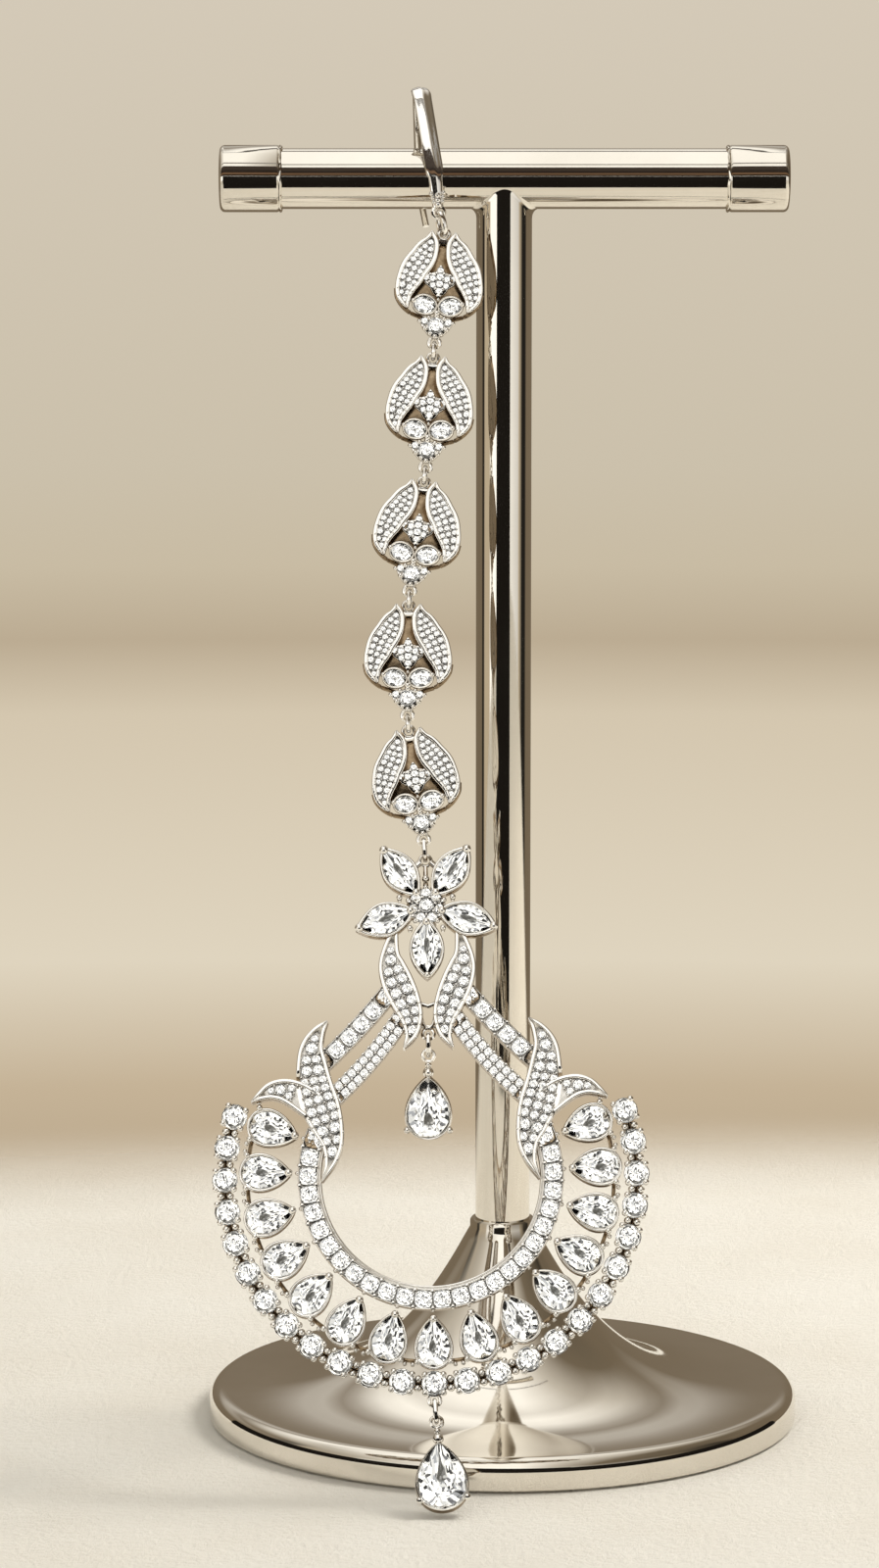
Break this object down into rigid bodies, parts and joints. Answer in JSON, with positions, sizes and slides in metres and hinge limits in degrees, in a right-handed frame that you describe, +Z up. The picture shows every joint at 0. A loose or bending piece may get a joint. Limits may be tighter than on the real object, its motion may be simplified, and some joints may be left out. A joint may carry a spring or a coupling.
{
  "type": "maang tikka on a T-bar display stand",
  "caption": "Forehead jewel with a hair hook, a chain of leaf links, a flower, a stone-set crescent and hanging drops, hooked over a polished T-bar stand with a round base.",
  "frame": {"origin": "centre of the stand base's flat underside", "axes": "+X to the viewer's right along the crossbar, -Y towards the viewer, +Z up the post"},
  "size_m": [0.0672, 0.0766, 0.1507],
  "materials": {
    "jewel_metal": "polished white metal with a rhodium look",
    "clear_stone": "faceted clear stone, bright with dark facets",
    "set_stones": "round clear stones fused with their polished cups",
    "stand_metal": "mirror-polished nickel"
  },
  "bodies": {
    "root": {"bar_cap_left": "stand_metal", "bar_cap_right": "stand_metal", "centre_drop_ring": "jewel_metal", "centre_drop_setting": "jewel_metal", "centre_drop_stone": "clear_stone", "chain_link_1": "jewel_metal", "chain_link_2": "jewel_metal", "chain_link_3": "jewel_metal", "chain_link_4": "jewel_metal", "chain_link_5": "jewel_metal", "chain_ring_1": "jewel_metal", "chain_ring_2": "jewel_metal", "chain_ring_3": "jewel_metal", "chain_ring_4": "jewel_metal", "ear_hook": "jewel_metal", "flower_centre_stone": "clear_stone", "hook_ring": "jewel_metal", "lower_drop_ring": "jewel_metal", "lower_drop_setting": "jewel_metal", "lower_drop_stone": "clear_stone", "outer_stone_row": "set_stones", "pear_stone_1": "clear_stone", "pear_stone_10": "clear_stone", "pear_stone_11": "clear_stone", "pear_stone_12": "clear_stone", "pear_stone_13": "clear_stone", "pear_stone_14": "clear_stone", "pear_stone_15": "clear_stone", "pear_stone_2": "clear_stone", "pear_stone_3": "clear_stone", "pear_stone_4": "clear_stone", "pear_stone_5": "clear_stone", "pear_stone_6": "clear_stone", "pear_stone_7": "clear_stone", "pear_stone_8": "clear_stone", "pear_stone_9": "clear_stone", "pendant_frame": "jewel_metal", "pendant_ring": "jewel_metal", "petal_stone_1": "clear_stone", "petal_stone_2": "clear_stone", "petal_stone_3": "clear_stone", "petal_stone_4": "clear_stone", "petal_stone_5": "clear_stone", "stand_base": "stand_metal", "stand_tee": "stand_metal"}
  },
  "joints": []
}
